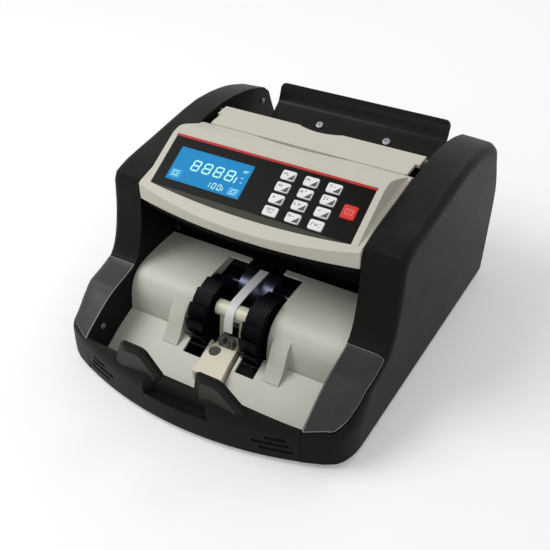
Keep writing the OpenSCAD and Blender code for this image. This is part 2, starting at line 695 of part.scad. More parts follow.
module kicker_tyres() {
    color("#2a2a2a") both_sides() difference() {
        rod(kicker_at, kicker_r, 20.4, 34.2);
        rod(kicker_at, shaft_r, 19, 36);
        for (a = [0 : 60 : 300]) translate([0, kicker_at[0], kicker_at[1]]) rotate([a, 0, 0])
            translate([27, 9.2, 0]) rotate([0, 90, 0]) cylinder(r = 2.4, h = 20, center = true);
    }
}
module count_roller() {
    color("#c8cbd0") union() {
        rod(count_at, count_shaft_r, -bay_half + 0.2, belt_c + 5);
        rod(count_at, count_r, -15.5, 15.5);
        both_sides() rod(count_at, 6, 42, 50);
        pulley(count_at, count_pr, belt_b);
        pulley(count_at, count_pr, belt_c);
    }
}
module impeller_shaft() {
    color("#b9bcc0") union() {
        rod(wheel_at, shaft_r, -bay_half + 0.2, belt_c + 5);
        rod(wheel_at, 6, -14.6, 14.6);
        pulley(wheel_at, wheel_pr, belt_c);
    }
}
// One stacker wheel: long trailing blades that swirl out of a hub, as one closed outline
hub_r = 10;
blade_sweep = 100;
blade_t = 1.4;
blade_steps = 8;
blade_root = 1.2;
function blade_angle(s) = -blade_sweep * pow(s, 1.6);
// The blade's rear face at share s of its length, and its front face blade_t away from it
function blade_rear(s) = (hub_r + (wheel_r - blade_t - hub_r) * s)
    * [cos(blade_angle(s)), sin(blade_angle(s))];
function blade_front(s) = let (d = unit(blade_rear(s + 0.01) - blade_rear(max(s - 0.01, 0))))
    blade_rear(s) + blade_t * (s == 0 ? blade_root : 1) * [-d[1], d[0]];
function turned(p, a) = [p[0] * cos(a) - p[1] * sin(a), p[0] * sin(a) + p[1] * cos(a)];
blade_outline = concat([for (k = [0 : blade_steps]) blade_rear(k / blade_steps)],
    [for (k = [blade_steps : -1 : 0]) blade_front(k / blade_steps)]);
function wheel_outline() = [for (i = [0 : blade_n - 1]) each
    [for (p = blade_outline) turned(p, 360 * i / blade_n)]];
module impellers() {
    color("#101014") both_sides() difference() {
        union() {
            translate([17, wheel_at[0], wheel_at[1]]) rotate([90, 0, 90])
                linear_extrude(15.4) polygon(wheel_outline());
            rod(wheel_at, 11.5, 22, 27);
            rod(wheel_at, 8, 16.2, 34);
        }
        rod(wheel_at, shaft_r, 10, 40);
    }
}
module motor() {
    color("#8f9396") union() {
        rod(motor_at, 22, 46, 90);
        rod(motor_at, 20, 90, bay_half - 2.6);
        rod(motor_at, 9, 42, 46);
        translate([50, motor_at[0] - 14, 6.6]) cube([33.5, 28, 10]);
    }
}
module motor_pulley() {
    color("#b9bcc0") union() {
        rod(motor_at, 3, bay_half - 2.4, belt_a + 4);
        pulley(motor_at, motor_pr, belt_a);
    }
}
// An open loop of belt round two pulleys
function belt_loop(a, ra, b, rb) = let (d = b - a, l = norm(d), h = atan2(d[1], d[0]),
    w = acos((ra - rb) / l)) concat(arc(a, ra, h + w, h + 360 - w, 18), arc(b, rb, h - w, h + w, 18));
module belt(a, ra, b, rb, x) {
    across(x - belt_w / 2, x + belt_w / 2) difference() {
        polygon(belt_loop(a, ra + belt_gap + belt_t, b, rb + belt_gap + belt_t));
        polygon(belt_loop(a, ra + belt_gap, b, rb + belt_gap));
    }
}
module drive_belts() {
    color("#18181a") {
        belt(motor_at, motor_pr, feed_at, feed_pr, belt_a);
        belt(feed_at, feed_pr, count_at, count_pr, belt_b);
        belt(count_at, count_pr, wheel_at, wheel_pr, belt_c);
        belt(feed_at, kicker_pr, kicker_at, kicker_pr, -belt_a);
    }
}
module main_board() {
    color("#2f6b3a") union() {
        translate([-86, 20, 13]) cube([88, 96, 1.6]);
        for (x = [-80, -4]) for (y = [26, 110]) translate([x, y, 6.5]) cylinder(r = 3, h = 6.6);
        translate([-80, 70, 14.5]) cube([34, 36, 26]);
        for (p = [[-30, 84], [-18, 84], [-30, 98]]) translate([p[0], p[1], 14.5]) cylinder(r = 5, h = 18);
        for (y = [32, 46]) translate([-70, y, 14.5]) cube([26, 8, 4]);
        for (x = [-34 : 14 : -6]) translate([x, 24, 14.5]) cube([10, 6, 9]);
    }
}

// ---------------------------------------------------------------- fasteners
module pan_head(r) {
    difference() {
        union() {
            cylinder(r = r, h = 0.8);
            translate([0, 0, 0.8]) cylinder(r1 = r, r2 = r * 0.62, h = 0.6);
        }
        for (a = [0, 90]) rotate([0, 0, a]) translate([-r * 0.5, -0.35, 0.7]) cube([r, 0.7, 1]);
    }
}
module screws() {
    color("#b8bbbf") {
        both_sides() for (p = [[-119.9, 33.1], [132.6, 123.5]])
            translate([bay_half - 0.02, p[0], p[1]]) rotate([0, -90, 0]) pan_head(2.6);
        for (x = [-33.4, 33.4]) translate([x, 127, 116.02]) rotate([33, 0, 0]) pan_head(3.6);
    }
}

base_plate();
rubber_feet();
side_cover_left();
side_cover_right();
front_cover();
stacker_lip();
stacker_floor();
stacker_guides();
centre_block();
stacker_strap();
strap_bar();
stack_sensor();
rear_cover();
hopper_plate();
screws();
throat_plate();
note_bed();
head_cover();
panel_overlay();
lcd_window();
lcd_module();
key_board();
head_tray();
top_flap();
power_inlet();
switch_body();
switch_rocker();
main_board();
carry_handle();
drive_belts();
separator();
adjust_knob();
feed_shaft();
feed_tyres();
kicker_shaft();
kicker_tyres();
count_roller();
impeller_shaft();
impellers();
motor();
motor_pulley();
side_frames();
tie_rods();
bearings();
white_key(1, 1);  // key_11
white_key(1, 2);  // key_12
white_key(1, 3);  // key_13
white_key(2, 1);  // key_21
white_key(2, 2);  // key_22
white_key(2, 3);  // key_23
white_key(3, 1);  // key_31
white_key(3, 2);  // key_32
white_key(3, 3);  // key_33
white_key(4, 1);  // key_41
white_key(4, 2);  // key_42
white_key(4, 3);  // key_43
key_start();
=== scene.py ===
import bpy, bmesh, json
from math import radians
from mathutils import Matrix, Vector
from mathutils.bvhtree import BVHTree


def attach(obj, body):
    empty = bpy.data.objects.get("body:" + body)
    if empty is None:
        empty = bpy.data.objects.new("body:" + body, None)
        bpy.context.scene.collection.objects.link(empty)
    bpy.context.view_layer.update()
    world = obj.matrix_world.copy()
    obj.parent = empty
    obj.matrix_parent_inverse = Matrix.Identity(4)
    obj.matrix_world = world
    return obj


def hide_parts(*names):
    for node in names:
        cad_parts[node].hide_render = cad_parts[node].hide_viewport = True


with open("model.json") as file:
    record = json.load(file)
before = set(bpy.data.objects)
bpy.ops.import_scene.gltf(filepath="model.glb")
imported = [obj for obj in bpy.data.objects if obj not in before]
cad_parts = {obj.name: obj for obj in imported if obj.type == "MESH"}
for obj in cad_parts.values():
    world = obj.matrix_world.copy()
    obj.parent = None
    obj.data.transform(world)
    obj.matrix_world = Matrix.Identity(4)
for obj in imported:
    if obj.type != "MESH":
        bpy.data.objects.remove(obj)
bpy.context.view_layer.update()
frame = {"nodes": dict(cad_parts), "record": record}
scene = bpy.context.scene
record = frame["record"]
nodeBody = {n: b for b, names in record["behaviour"]["bodies"].items() for n in names}
mm = 0.001

# camera
cameraSpec = {  # place and near in m, angles in degrees, lens and sensor in mm
    "place": (0.2949, -0.4777, 0.4729), "around": 32.305, "above": 37.561, "roll": -2.008,
    "lens": 54.5, "sensor": 36, "near": 0.01}
cameraData = bpy.data.cameras.new("counterCamera")
cameraData.lens = cameraSpec["lens"]
cameraData.sensor_width = cameraSpec["sensor"]
cameraData.clip_start = cameraSpec["near"]
camera = bpy.data.objects.new("counterCamera", cameraData)
scene.collection.objects.link(camera)
camera.matrix_world = (Matrix.Translation(cameraSpec["place"])
    @ Matrix.Rotation(radians(cameraSpec["around"]), 4, "Z")
    @ Matrix.Rotation(radians(90 - cameraSpec["above"]), 4, "X")
    @ Matrix.Rotation(radians(cameraSpec["roll"]), 4, "Z"))
scene.camera = camera
print("camera placed")


def hexColour(text):  # sRGB hex to the linear values a shader takes
    out = []
    for i in (0, 2, 4):
        c = int(text[i:i + 2], 16) / 255
        out.append(c / 12.92 if c <= 0.04045 else ((c + 0.055) / 1.055) ** 2.4)
    return (*out, 1.0)


# shared surface effects
def newGroup(name, inputs, outputs):
    group = bpy.data.node_groups.new(name, "ShaderNodeTree")
    for label, kind, value in inputs:
        socket = group.interface.new_socket(label, in_out="INPUT", socket_type=kind)
        if value is not None:
            socket.default_value = value
    for label, kind in outputs:
        group.interface.new_socket(label, in_out="OUTPUT", socket_type=kind)
    return group, group.nodes.new("NodeGroupInput"), group.nodes.new("NodeGroupOutput")


def addNode(tree, kind, **settings):
    node = tree.nodes.new(kind)
    for key, value in settings.items():
        if key.startswith("in_"):
            name = key[3:].replace("_", " ")
            node.inputs[int(name) if name.isdigit() else name].default_value = value
        else:
            setattr(node, key, value)
    return node


def joinValues(tree, operation, first, second, **settings):  # one value from two sockets
    node = addNode(tree, "ShaderNodeMath", operation=operation, **settings)
    tree.links.new(first, node.inputs[0])
    tree.links.new(second, node.inputs[1])
    return node.outputs[0]


skinOutputs = [("Colour", "NodeSocketColor"), ("Roughness", "NodeSocketFloat"),
    ("Normal", "NodeSocketVector")]
mouldSpec = {"cloudScale": 22.0, "speckScale": 70.0, "dustSlope": (0.35, 1.0), "speckRange": (0.4, 0.75),
    "wander": 0.16, "relief": 0.0004}
turnedSpec = {"lineScale": (2600.0, 60.0, 60.0), "cloudScale": 55.0, "lineRange": (0.3, 0.7),
    "toneRange": (0.86, 1.06), "wander": 0.22, "relief": 0.0002}


def buildMouldSkin():  # fine spark texture, soft mottling and a little settled dust
    group, gin, gout = newGroup("mouldSkin",
        [("Vector", "NodeSocketVector", None), ("Colour", "NodeSocketColor", None),
         ("Roughness", "NodeSocketFloat", 0.45), ("Grain Scale", "NodeSocketFloat", 1600.0),
         ("Grain Depth", "NodeSocketFloat", 0.1), ("Mottle", "NodeSocketFloat", 0.06),
         ("Dust", "NodeSocketFloat", 0.05), ("Dust Colour", "NodeSocketColor", (0.45, 0.43, 0.4, 1))],
        skinOutputs)
    link = group.links.new
    grain = addNode(group, "ShaderNodeTexNoise", in_Detail=3.0, in_Roughness=0.6)
    link(gin.outputs["Vector"], grain.inputs["Vector"])
    link(gin.outputs["Grain Scale"], grain.inputs["Scale"])
    cloud = addNode(group, "ShaderNodeTexNoise", in_Scale=mouldSpec["cloudScale"], in_Detail=5.0,
        in_Roughness=0.55)
    link(gin.outputs["Vector"], cloud.inputs["Vector"])
    # tone: 1 + mottle * (cloud - 0.5)
    centred = addNode(group, "ShaderNodeMath", operation="SUBTRACT", in_1=0.5)
    link(cloud.outputs["Fac"], centred.inputs[0])
    tone = addNode(group, "ShaderNodeMath", operation="MULTIPLY_ADD", in_2=1.0)
    link(centred.outputs[0], tone.inputs[0])
    link(gin.outputs["Mottle"], tone.inputs[1])
    toned = addNode(group, "ShaderNodeVectorMath", operation="SCALE")
    link(gin.outputs["Colour"], toned.inputs[0])
    link(tone.outputs[0], toned.inputs["Scale"])
    # dust lies on faces that look up
    geometry = addNode(group, "ShaderNodeNewGeometry")
    split = addNode(group, "ShaderNodeSeparateXYZ")
    link(geometry.outputs["Normal"], split.inputs[0])
    low, high = mouldSpec["dustSlope"]
    up = addNode(group, "ShaderNodeMapRange", in_1=low, in_2=high)
    link(split.outputs["Z"], up.inputs[0])
    speck = addNode(group, "ShaderNodeTexNoise", in_Scale=mouldSpec["speckScale"], in_Detail=8.0,
        in_Roughness=0.7)
    link(gin.outputs["Vector"], speck.inputs["Vector"])
    low, high = mouldSpec["speckRange"]
    patch = addNode(group, "ShaderNodeMapRange", in_1=low, in_2=high)
    link(speck.outputs["Fac"], patch.inputs[0])
    lies = joinValues(group, "MULTIPLY", up.outputs[0], patch.outputs[0])
    amount = joinValues(group, "MULTIPLY", lies, gin.outputs["Dust"])
    dusted = addNode(group, "ShaderNodeMix", data_type="RGBA")
    link(amount, dusted.inputs[0])
    link(toned.outputs[0], dusted.inputs[6])
    link(gin.outputs["Dust Colour"], dusted.inputs[7])
    link(dusted.outputs[2], gout.inputs["Colour"])
    # roughness wanders with the clouds and rises under dust
    wander = addNode(group, "ShaderNodeMath", operation="MULTIPLY_ADD", in_1=mouldSpec["wander"])
    link(centred.outputs[0], wander.inputs[0])
    link(gin.outputs["Roughness"], wander.inputs[2])
    link(joinValues(group, "ADD", wander.outputs[0], amount, use_clamp=True), gout.inputs["Roughness"])
    bump = addNode(group, "ShaderNodeBump", in_Distance=mouldSpec["relief"])
    link(gin.outputs["Grain Depth"], bump.inputs["Strength"])
    link(grain.outputs["Fac"], bump.inputs["Height"])
    link(bump.outputs[0], gout.inputs["Normal"])
    return group


def buildTurnedSkin():  # lathe or brush lines across one axis, and dull patches
    group, gin, gout = newGroup("turnedSkin",
        [("Vector", "NodeSocketVector", None), ("Colour", "NodeSocketColor", None),
         ("Roughness", "NodeSocketFloat", 0.3), ("Line Depth", "NodeSocketFloat", 0.15)],
        skinOutputs)
    link = group.links.new
    stretch = addNode(group, "ShaderNodeMapping", in_Scale=turnedSpec["lineScale"])
    link(gin.outputs["Vector"], stretch.inputs["Vector"])
    lines = addNode(group, "ShaderNodeTexNoise", in_Scale=1.0, in_Detail=4.0)
    link(stretch.outputs[0], lines.inputs["Vector"])
    cloud = addNode(group, "ShaderNodeTexNoise", in_Scale=turnedSpec["cloudScale"], in_Detail=4.0)
    link(gin.outputs["Vector"], cloud.inputs["Vector"])
    low, high = turnedSpec["lineRange"]
    dull, bright = turnedSpec["toneRange"]
    tone = addNode(group, "ShaderNodeMapRange", in_1=low, in_2=high, in_3=dull, in_4=bright)
    link(lines.outputs["Fac"], tone.inputs[0])
    toned = addNode(group, "ShaderNodeVectorMath", operation="SCALE")
    link(gin.outputs["Colour"], toned.inputs[0])
    link(tone.outputs[0], toned.inputs["Scale"])
    link(toned.outputs[0], gout.inputs["Colour"])
    wander = addNode(group, "ShaderNodeMath", operation="MULTIPLY_ADD", in_1=turnedSpec["wander"],
        use_clamp=True)
    link(cloud.outputs["Fac"], wander.inputs[0])
    link(gin.outputs["Roughness"], wander.inputs[2])
    link(wander.outputs[0], gout.inputs["Roughness"])
    bump = addNode(group, "ShaderNodeBump", in_Distance=turnedSpec["relief"])
    link(gin.outputs["Line Depth"], bump.inputs["Strength"])
    link(lines.outputs["Fac"], bump.inputs["Height"])
    link(bump.outputs[0], gout.inputs["Normal"])
    return group


mouldSkin = buildMouldSkin()
turnedSkin = buildTurnedSkin()


def newFinish(name, group, colour, rough, shader=None, **values):
    material = bpy.data.materials.new(name)
    material.use_nodes = True
    tree = material.node_tree
    principled = tree.nodes["Principled BSDF"]
    place = tree.nodes.new("ShaderNodeTexCoord")
    skin = tree.nodes.new("ShaderNodeGroup")
    skin.node_tree = group
    tree.links.new(place.outputs["Object"], skin.inputs["Vector"])
    skin.inputs["Colour"].default_value = hexColour(colour)
    skin.inputs["Roughness"].default_value = rough
    for key, value in values.items():
        skin.inputs[key.replace("_", " ")].default_value = value
    tree.links.new(skin.outputs["Colour"], principled.inputs["Base Color"])
    tree.links.new(skin.outputs["Roughness"], principled.inputs["Roughness"])
    tree.links.new(skin.outputs["Normal"], principled.inputs["Normal"])
    for key, value in (shader or {}).items():
        principled.inputs[key].default_value = value
    return material


satinShine = {"Specular IOR Level": 0.07}  # dark mouldings reflect little
filmShine = {"Specular IOR Level": 0.06}
paleShine = {"Specular IOR Level": 0.35}
redShine = {"Specular IOR Level": 0.2}
bareMetal = {"Metallic": 1.0}
finishes = {
    "cover_black": newFinish("coverBlack", mouldSkin, "141513", 0.44, satinShine, Grain_Scale=1500.0,
        Grain_Depth=0.14, Mottle=0.25, Dust=0.02),
    "lip_black": newFinish("lipBlack", mouldSkin, "191a17", 0.42, satinShine, Grain_Scale=1500.0,
        Grain_Depth=0.12, Mottle=0.2, Dust=0.02),
    "guide_grey": newFinish("guideGrey", mouldSkin, "d2d2c6", 0.38, paleShine, Grain_Scale=1900.0,
        Grain_Depth=0.06, Mottle=0.05, Dust=0.02),
    "block_beige": newFinish("blockBeige", mouldSkin, "f3ebd6", 0.5, Grain_Scale=1700.0, Grain_Depth=0.08),
    "strap_white": newFinish("strapWhite", mouldSkin, "e6e6e6", 0.42, Grain_Scale=2400.0, Grain_Depth=0.05,
        Mottle=0.05),
    "bar_cream": newFinish("barCream", mouldSkin, "e4e1c9", 0.3, Grain_Scale=1500.0, Grain_Depth=0.04,
        Mottle=0.05),
    "sensor_grey": newFinish("sensorGrey", mouldSkin, "5c5d58", 0.45),
    "hopper_black": newFinish("hopperBlack", mouldSkin, "171814", 0.42, satinShine, Grain_Scale=1500.0,
        Grain_Depth=0.1, Mottle=0.2, Dust=0.02),
    "throat_black": newFinish("throatBlack", mouldSkin, "0b0b0c", 0.5, satinShine, Mottle=0.2, Dust=0.01),
    "head_grey": newFinish("headGrey", mouldSkin, "cbc7ba", 0.46, paleShine, Grain_Scale=1500.0,
        Grain_Depth=0.1, Mottle=0.05, Dust=0.02),
    "overlay_film": newFinish("overlayFilm", mouldSkin, "0e0f0b", 0.3, filmShine, Grain_Scale=2600.0,
        Grain_Depth=0.03, Mottle=0.15, Dust=0.0),
    "module_green": newFinish("moduleGreen", mouldSkin, "6f7a60", 0.5),
    "board_green": newFinish("boardGreen", mouldSkin, "1a3a22", 0.4),
    "inlet_black": newFinish("inletBlack", mouldSkin, "111112", 0.35, satinShine, Grain_Scale=2200.0),
    "rocker_red": newFinish("rockerRed", mouldSkin, "b02020", 0.22, Grain_Depth=0.02),
    "belt_rubber": newFinish("beltRubber", mouldSkin, "151515", 0.6, satinShine),
    "separator_grey": newFinish("separatorGrey", mouldSkin, "2c2e30", 0.5, satinShine),
    "knob_blue": newFinish("knobBlue", mouldSkin, "3a6ea5", 0.4),
    "tyre_rubber": newFinish("tyreRubber", mouldSkin, "202020", 0.62, satinShine, Grain_Scale=900.0,
        Grain_Depth=0.25),
    "wheel_black": newFinish("wheelBlack", mouldSkin, "07080d", 0.36, satinShine, Grain_Scale=1200.0,
        Grain_Depth=0.06, Mottle=0.3, Dust=0.0),
    "foot_rubber": newFinish("footRubber", mouldSkin, "181818", 0.65, satinShine, Grain_Scale=900.0,
        Grain_Depth=0.25),
    "key_white": newFinish("keyWhite", mouldSkin, "efefed", 0.4, {"Specular IOR Level": 0.3},
        Grain_Scale=2400.0, Grain_Depth=0.04, Mottle=0.03),
    "key_red": newFinish("keyRed", mouldSkin, "d9352b", 0.38, redShine, Grain_Scale=2400.0,
        Grain_Depth=0.04, Mottle=0.05, Dust=0.0),
    "shaft_steel": newFinish("shaftSteel", turnedSkin, "b4b7ba", 0.2, bareMetal),
    "screw_steel": newFinish("screwSteel", turnedSkin, "85888a", 0.32, bareMetal),
    "bearing_steel": newFinish("bearingSteel", turnedSkin, "c4c7ca", 0.16, bareMetal),
    "roller_chrome": newFinish("rollerChrome", turnedSkin, "5f6478", 0.3, bareMetal, Line_Depth=0.05),
    "sheet_steel": newFinish("sheetSteel", turnedSkin, "7c7f82", 0.36, bareMetal),
    "motor_steel": newFinish("motorSteel", turnedSkin, "8f9396", 0.35, bareMetal),
}
print("finishes ready:", len(finishes))


plainSharp = 35  # degrees; an edge that turns more stays crisp


def linkPiece(bm, name, body, materials, sharpAngle=plainSharp):
    mesh = bpy.data.meshes.new(name)
    bm.to_mesh(mesh)
    bm.free()
    for material in materials:
        mesh.materials.append(material)
    mesh.polygons.foreach_set("use_smooth", [True] * len(mesh.polygons))
    mesh.set_sharp_from_angle(angle=radians(sharpAngle))
    piece = bpy.data.objects.new(name, mesh)
    scene.collection.objects.link(piece)
    shading = piece.modifiers.new("evenShading", "WEIGHTED_NORMAL")
    shading.keep_sharp = True
    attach(piece, body)
    return piece


def roundEdges(bm, edges, width, segments):
    bmesh.ops.bevel(bm, geom=edges, offset=width, offset_type="OFFSET", segments=segments, profile=0.5,
        affect="EDGES", clamp_overlap=True, material=-1)


def addBox(bm, size, centre):
    verts = bmesh.ops.create_cube(bm, size=1)["verts"]
    bmesh.ops.scale(bm, vec=size, verts=verts)
    bmesh.ops.translate(bm, vec=centre, verts=verts)


def roundCorners(bm, spec):  # a wide rounding of the free corners of a plate
    far = max(v.co.x for v in bm.verts) - spec["reach"]
    high = max(v.co.z for v in bm.verts) - spec["reach"]
    corners = [e for e in bm.edges if all(abs(v.co.x) > far and v.co.z > high for v in e.verts)
        and abs(e.verts[0].co.y - e.verts[1].co.y) > spec["along"] * e.calc_length()]
    roundEdges(bm, corners, spec["radius"], spec["segments"])


cornerSpec = {"hopper_plate": {"reach": 2.5 * mm, "radius": 5.5 * mm, "along": 0.9, "segments": 6}}
copySpec = {"weld": 1e-6, "flat": 0.4, "sharp": 38, "segments": 2, "shares": (1, 0.6, 0.3),
    "volumeSlack": 0.04}  # weld in m, flat and sharp in degrees


def dressedCopy(node, width, segments=copySpec["segments"]):  # the CAD node's own shape with moulded edges
    bm = bmesh.new()
    bm.from_mesh(frame["nodes"][node].data)
    bmesh.ops.remove_doubles(bm, verts=bm.verts, dist=copySpec["weld"])
    bmesh.ops.dissolve_limit(bm, angle_limit=radians(copySpec["flat"]), use_dissolve_boundaries=False,
        verts=bm.verts, edges=bm.edges)
    if node in cornerSpec:
        roundCorners(bm, cornerSpec[node])
    turn = radians(copySpec["sharp"])
    sharp = [e for e in bm.edges if len(e.link_faces) == 2 and e.calc_face_angle(0) > turn]
    if sharp and width > 0:
        roundEdges(bm, sharp, width, segments)
    return bm


def isSound(bm, volume):  # closed, and the same size as the solid it dresses
    closed = all(len(e.link_faces) == 2 for e in bm.edges)
    return closed and abs(bm.calc_volume() / volume - 1) < copySpec["volumeSlack"]


def soundCopy(node, width):  # the widest rounding that keeps the node's shape whole
    plain = dressedCopy(node, 0)
    volume = plain.calc_volume()
    for share in copySpec["shares"]:
        bm = dressedCopy(node, width * share)
        if isSound(bm, volume):
            plain.free()
            return bm
        bm.free()
    print("no rounding on", node)
    return plain


slotOf = {s["node"]: s["material_slot"] for s in record["subparts"]}
edgeWidths = {  # rounding of each moulding's edges, in mm
    "side_cover_left": 0.5, "side_cover_right": 0.5, "front_cover": 0.4, "stacker_lip": 0.5,
    "stacker_floor": 0.4, "stacker_guides": 0.5, "centre_block": 0.5, "stacker_strap": 0.2, "strap_bar": 0.2,
    "stack_sensor": 0.25, "rear_cover": 0.5, "hopper_plate": 0.5, "screws": 0.08, "throat_plate": 0.3,
    "head_cover": 0.8, "panel_overlay": 0.12, "lcd_window": 0.05, "head_tray": 0.4, "top_flap": 0.6,
    "power_inlet": 0.3, "switch_body": 0.3, "switch_rocker": 0.4, "carry_handle": 0.6, "separator": 0.3,
    "adjust_knob": 0.4, "feed_tyres": 0.3, "kicker_tyres": 0.3, "note_bed": 0.3, "impellers": 0.22,
    "count_roller": 0.2, "feed_shaft": 0.15, "kicker_shaft": 0.15, "impeller_shaft": 0.15, "rubber_feet": 0.3,
    "base_plate": 0.2, "side_frames": 0.2, "motor": 0.5,
}
plainWidth = 0.1  # for a node that isn't listed
hopperGloss = newFinish("hopperGloss", mouldSkin, "0a0b0e", 0.26, {"Specular IOR Level": 0.16},
    Grain_Scale=1500.0, Grain_Depth=0.05, Mottle=0.2)
# painted light: a lighter copy of the lip black for the tabs' flat front faces, which face the lamp
tabFaceLit = newFinish("tabFaceLit", mouldSkin, "30312b", 0.42, satinShine, Grain_Scale=1500.0,
    Grain_Depth=0.12, Mottle=0.15)
# painted highlight for the stacker wheels' slanted blade faces
wheelGlint = newFinish("wheelGlint", mouldSkin, "34363d", 0.36, satinShine, Grain_Depth=0.04, Mottle=0.3,
    Dust=0.0)
faceSpec = {"wheelSlant": (0.25, 0.93), "hopperLip": 0.1245, "tabFoot": 0.0425,
    "tabNormal": Vector((0, -0.9755, -0.2198)), "tabFlat": 0.995}  # heights in m


def splitFinish(node, bm):  # second colour of a moulding and the faces that take it: a glossier lip, painted light on the tabs' front faces, a painted highlight on the blades' slanted faces
    if node == "hopper_plate":
        chosen = [f for f in bm.faces if f.calc_center_median().z > faceSpec["hopperLip"]]
        second = hopperGloss
    elif node == "stacker_lip":
        # painted light: the tabs' flat front faces take a lighter black than their edges
        chosen = [f for f in bm.faces if f.calc_center_median().z > faceSpec["tabFoot"]
            and f.normal.dot(faceSpec["tabNormal"]) > faceSpec["tabFlat"]]
        second = tabFaceLit
    elif node == "impellers":  # the blades' slanted faces take a painted highlight, a pale colour standing in for glints
        low, high = faceSpec["wheelSlant"]
        chosen = [f for f in bm.faces if low < abs(f.normal.x) < high]
        second = wheelGlint
    else:
        return []
    for face in chosen:
        face.material_index = 1
    return [second]


# the keys, the film and the display window are made with the panel
sharpAngles = {"stacker_lip": 17}
for node in frame["nodes"]:
    if node in ("lcd_window", "panel_overlay") or (node.startswith("key_") and node != "key_board"):
        continue
    bm = soundCopy(node, edgeWidths.get(node, plainWidth) * mm)
    bm.normal_update()
    materials = [finishes[slotOf[node]]] + splitFinish(node, bm)
    piece = linkPiece(bm, node + "_dressed", nodeBody[node], materials,
        sharpAngles.get(node, plainSharp))
    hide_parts(node)
print("housing and mechanism dressed")

# the front slope of each side cover is a low raised panel in a lighter black that is painted light, with a
# pale painted highlight on its rim, over a near-black sheet that shows round it as painted shade in the
# groove
slopePaintedLight = newFinish("slopePaintedLight", mouldSkin, "2c2d29", 0.4, {"Specular IOR Level": 0.25},
    Grain_Scale=1500.0, Grain_Depth=0.14, Mottle=0.2, Dust=0.02)
# painted highlight: the pale colour on the slope panel's bevelled rim
slopeEdgeHighlight = newFinish("slopeEdgeHighlight", mouldSkin, "b4b5ae", 0.34, paleShine, Grain_Depth=0.05, Mottle=0.3)
# painted shade: a near-black sheet just proud of the cover, wider than the panel, stands in for the shade in
# the groove round it
grooveShade = newFinish("grooveShade", mouldSkin, "060606", 0.6, filmShine, Grain_Depth=0.05, Mottle=0.1,
    Dust=0.0)
slopeSpec = {  # in mm; crease and toe from the inner edge to the outer, taper and corner as width and power
    "inner": 98.6, "outer": 127.4, "crease": (-72.0, -71.2), "toe": (-139.0, -130.0), "footShare": 0.4,
    "taper": (8.8, 3), "corner": (2.6, 26), "rows": 64, "columns": 14, "castFrom": 200, "sunk": 0.6,
    "edgeSegments": 2, "edgeAngle": 50}
slopePieces = {
    "slopeGrooveShade": {"grow": 0.9, "proud": 0.12, "edge": 0, "finishes": [grooveShade]},
    "slopePanel": {"grow": 0, "proud": 0.75, "edge": 0.55, "finishes": [slopePaintedLight, slopeEdgeHighlight]},
}


def slopePoint(across, down, grow):  # a point of the panel from its shares across and down, in mm
    top = [y + grow for y in slopeSpec["crease"]]
    foot = [slopeSpec["toe"][0] - grow * slopeSpec["footShare"], slopeSpec["toe"][1] - grow]
    reach = slopeSpec["outer"] + grow
    for most, power in (slopeSpec["taper"], slopeSpec["corner"]):
        reach -= most * down ** power
    ends = [start + (stop - start) * down for start, stop in zip(top, foot)]
    return slopeSpec["inner"] + (reach - slopeSpec["inner"]) * across, ends[0] + (ends[1] - ends[0]) * across


def makeSlope(name, node, side, spec):  # laid on the cover from above, then given its thickness
    cover = frame["nodes"][node].data
    skin = BVHTree.FromPolygons([v.co for v in cover.vertices], [tuple(f.vertices) for f in cover.polygons])
    bm = bmesh.new()
    bmesh.ops.create_grid(bm, x_segments=slopeSpec["columns"], y_segments=slopeSpec["rows"], size=0.5)
    for vert in bm.verts:
        x, y = slopePoint(vert.co.x + 0.5, min(1.0, max(0.0, 0.5 - vert.co.y)), spec["grow"])
        above = Vector((side * x, y, slopeSpec["castFrom"])) * mm
        spot, normal = skin.ray_cast(above, Vector((0, 0, -1)))[:2]
        vert.co = spot + normal * spec["proud"] * mm
    if side < 0:
        bmesh.ops.reverse_faces(bm, faces=bm.faces)
    bm.normal_update()
    rimSlot = len(spec["finishes"]) - 1
    piece = linkPiece(bm, name, "chassis", spec["finishes"])
    wall = piece.modifiers.new("wall", "SOLIDIFY")
    wall.thickness = (spec["proud"] + slopeSpec["sunk"]) * mm
    wall.offset = -1
    wall.material_offset_rim = rimSlot
    if spec["edge"]:
        rim = piece.modifiers.new("rim", "BEVEL")
        rim.width = spec["edge"] * mm
        rim.segments = slopeSpec["edgeSegments"]
        rim.limit_method = "ANGLE"
        rim.angle_limit = radians(slopeSpec["edgeAngle"])
        rim.material = rimSlot
    piece.modifiers.move(0, len(piece.modifiers) - 1)


for side, word in ((1, "right"), (-1, "left")):
    for name, spec in slopePieces.items():
        makeSlope(name + "_" + word, "side_cover_" + word, side, spec)
print("cover slopes laid")

# control panel: its axes, as X across, V down the slope and W out of the face, in mm
panelSpec = {"top": (0.0, -10.9, 157.1), "tilt": 29.5, "blackEnd": 45.5}
panelTurn = Matrix.Rotation(radians(180 + panelSpec["tilt"]), 4, "X") @ Matrix.Scale(-1, 4, (0, 0, 1))
panelPlace = Matrix.Translation(Vector(panelSpec["top"]) * mm) @ panelTurn


def toPanel(bm):  # from panel axes in mm to the frame; these axes are left-handed, so faces are turned
    bmesh.ops.transform(bm, matrix=panelPlace @ Matrix.Scale(mm, 4), verts=bm.verts)
    bmesh.ops.reverse_faces(bm, faces=bm.faces)


